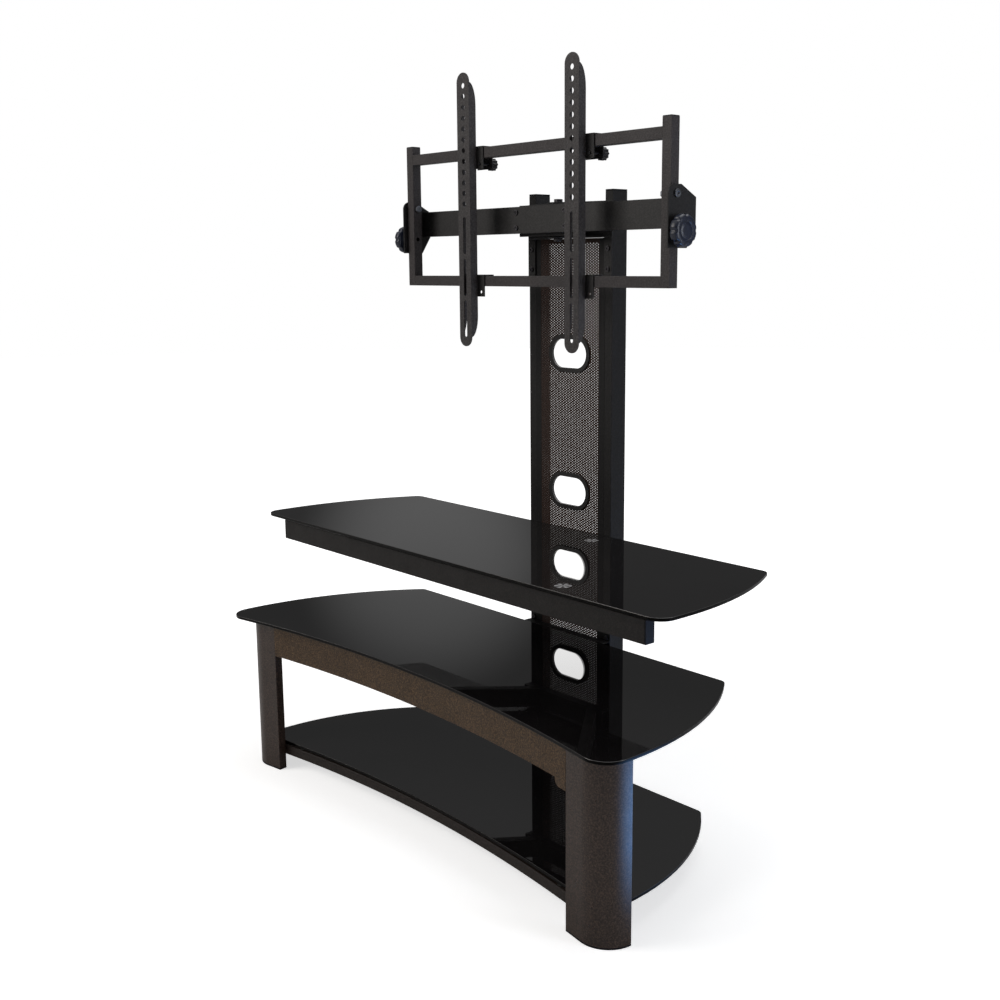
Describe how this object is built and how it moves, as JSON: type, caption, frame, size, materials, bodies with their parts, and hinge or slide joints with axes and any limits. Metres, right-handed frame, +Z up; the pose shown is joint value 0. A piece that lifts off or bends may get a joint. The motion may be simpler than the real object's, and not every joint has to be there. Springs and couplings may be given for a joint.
{
  "type": "tv stand with mount",
  "caption": "Floor-standing TV stand: curved dark glass shelves on a bronze steel base, a perforated cable column, and a swivelling, tilting screen mount with sliding arms.",
  "frame": {"origin": "floor plane, middle of the footprint: halfway between the sides and between the front corners of the middle shelf and the back of the column", "axes": "+X to the right seen from the front, +Y to the back, +Z up; the screen faces -Y"},
  "size_m": [1.146, 0.505, 1.4129],
  "materials": {
    "black_paint": "fine satin powder coat",
    "bronze_paint": "satin bronze-brown powder coat",
    "black_glass": "opaque polished black",
    "black_plastic": "matte",
    "knob_plastic": "fine grain",
    "clear_plastic": "clear, soft",
    "zinc_steel": "zinc plated"
  },
  "bodies": {
    "stand": {"left_leg": "bronze_paint", "right_leg": "bronze_paint", "leg_glides": "black_plastic", "front_apron": "bronze_paint", "lower_front_rail": "bronze_paint", "lower_left_strut": "black_paint", "lower_right_strut": "black_paint", "middle_left_strut": "black_paint", "middle_right_strut": "black_paint", "top_left_strut": "black_paint", "top_right_strut": "black_paint", "lower_cross_bar": "black_paint", "middle_cross_bar": "black_paint", "top_cross_bar": "black_paint", "top_front_bar": "black_paint", "front_bar_caps": "black_plastic", "lower_glass": "black_glass", "middle_glass": "black_glass", "top_glass": "black_glass", "lower_glass_pads": "clear_plastic", "middle_glass_pads": "clear_plastic", "top_glass_pads": "clear_plastic", "left_upright": "black_paint", "right_upright": "black_paint", "upright_caps": "black_plastic", "upright_glides": "black_plastic", "mesh_panel": "black_paint", "cable_grommets": "black_plastic", "swivel_bracket": "black_paint", "column_bolts": "zinc_steel", "swivel_bolt": "zinc_steel", "swivel_washers": "clear_plastic"},
    "swivel_head": {"swivel_yoke": "black_paint", "beam": "black_paint", "left_side_plate": "black_paint", "right_side_plate": "black_paint", "beam_bolts": "zinc_steel", "left_pivot_bolt": "zinc_steel", "right_pivot_bolt": "zinc_steel"},
    "mount_frame": {"left_frame_tube": "black_paint", "right_frame_tube": "black_paint", "frame_top_bar": "black_paint", "frame_bottom_bar": "black_paint", "frame_tube_caps": "black_plastic"},
    "left_clamp": {"left_tilt_knob": "knob_plastic"},
    "right_clamp": {"right_tilt_knob": "knob_plastic"},
    "left_arm": {"left_screen_arm": "black_paint", "left_top_clip": "black_paint", "left_bottom_clip": "black_paint"},
    "right_arm": {"right_screen_arm": "black_paint", "right_top_clip": "black_paint", "right_bottom_clip": "black_paint"},
    "left_thumb": {"left_thumb_knob": "knob_plastic"},
    "right_thumb": {"right_thumb_knob": "knob_plastic"}
  },
  "joints": [
    {"name": "mount_swivel", "type": "hinge", "parent": "stand", "child": "swivel_head", "pos_m": [0, 0.182, 1.137], "axis": [0, 0, 1], "range_deg": [-20, 20]},
    {"name": "mount_tilt", "type": "hinge", "parent": "swivel_head", "child": "mount_frame", "pos_m": [0, 0.1045, 1.167], "axis": [1, 0, 0], "range_deg": [-5, 15]},
    {"name": "left_clamp_turn", "type": "hinge", "parent": "mount_frame", "child": "left_clamp", "pos_m": [-0.38, 0.1045, 1.106], "axis": [-1, 0, 0], "continuous": true},
    {"name": "right_clamp_turn", "type": "hinge", "parent": "mount_frame", "child": "right_clamp", "pos_m": [0.38, 0.1045, 1.106], "axis": [1, 0, 0], "continuous": true},
    {"name": "left_arm_slide", "type": "slide", "parent": "mount_frame", "child": "left_arm", "axis": [1, 0, 0], "range_m": [-0.15, 0.1]},
    {"name": "right_arm_slide", "type": "slide", "parent": "mount_frame", "child": "right_arm", "axis": [1, 0, 0], "range_m": [-0.1, 0.15]},
    {"name": "left_thumb_turn", "type": "hinge", "parent": "left_arm", "child": "left_thumb", "pos_m": [-0.125, 0.127, 1.2435], "axis": [0, 1, 0], "continuous": true},
    {"name": "right_thumb_turn", "type": "hinge", "parent": "right_arm", "child": "right_thumb", "pos_m": [0.175, 0.127, 1.2435], "axis": [0, 1, 0], "continuous": true}
  ]
}
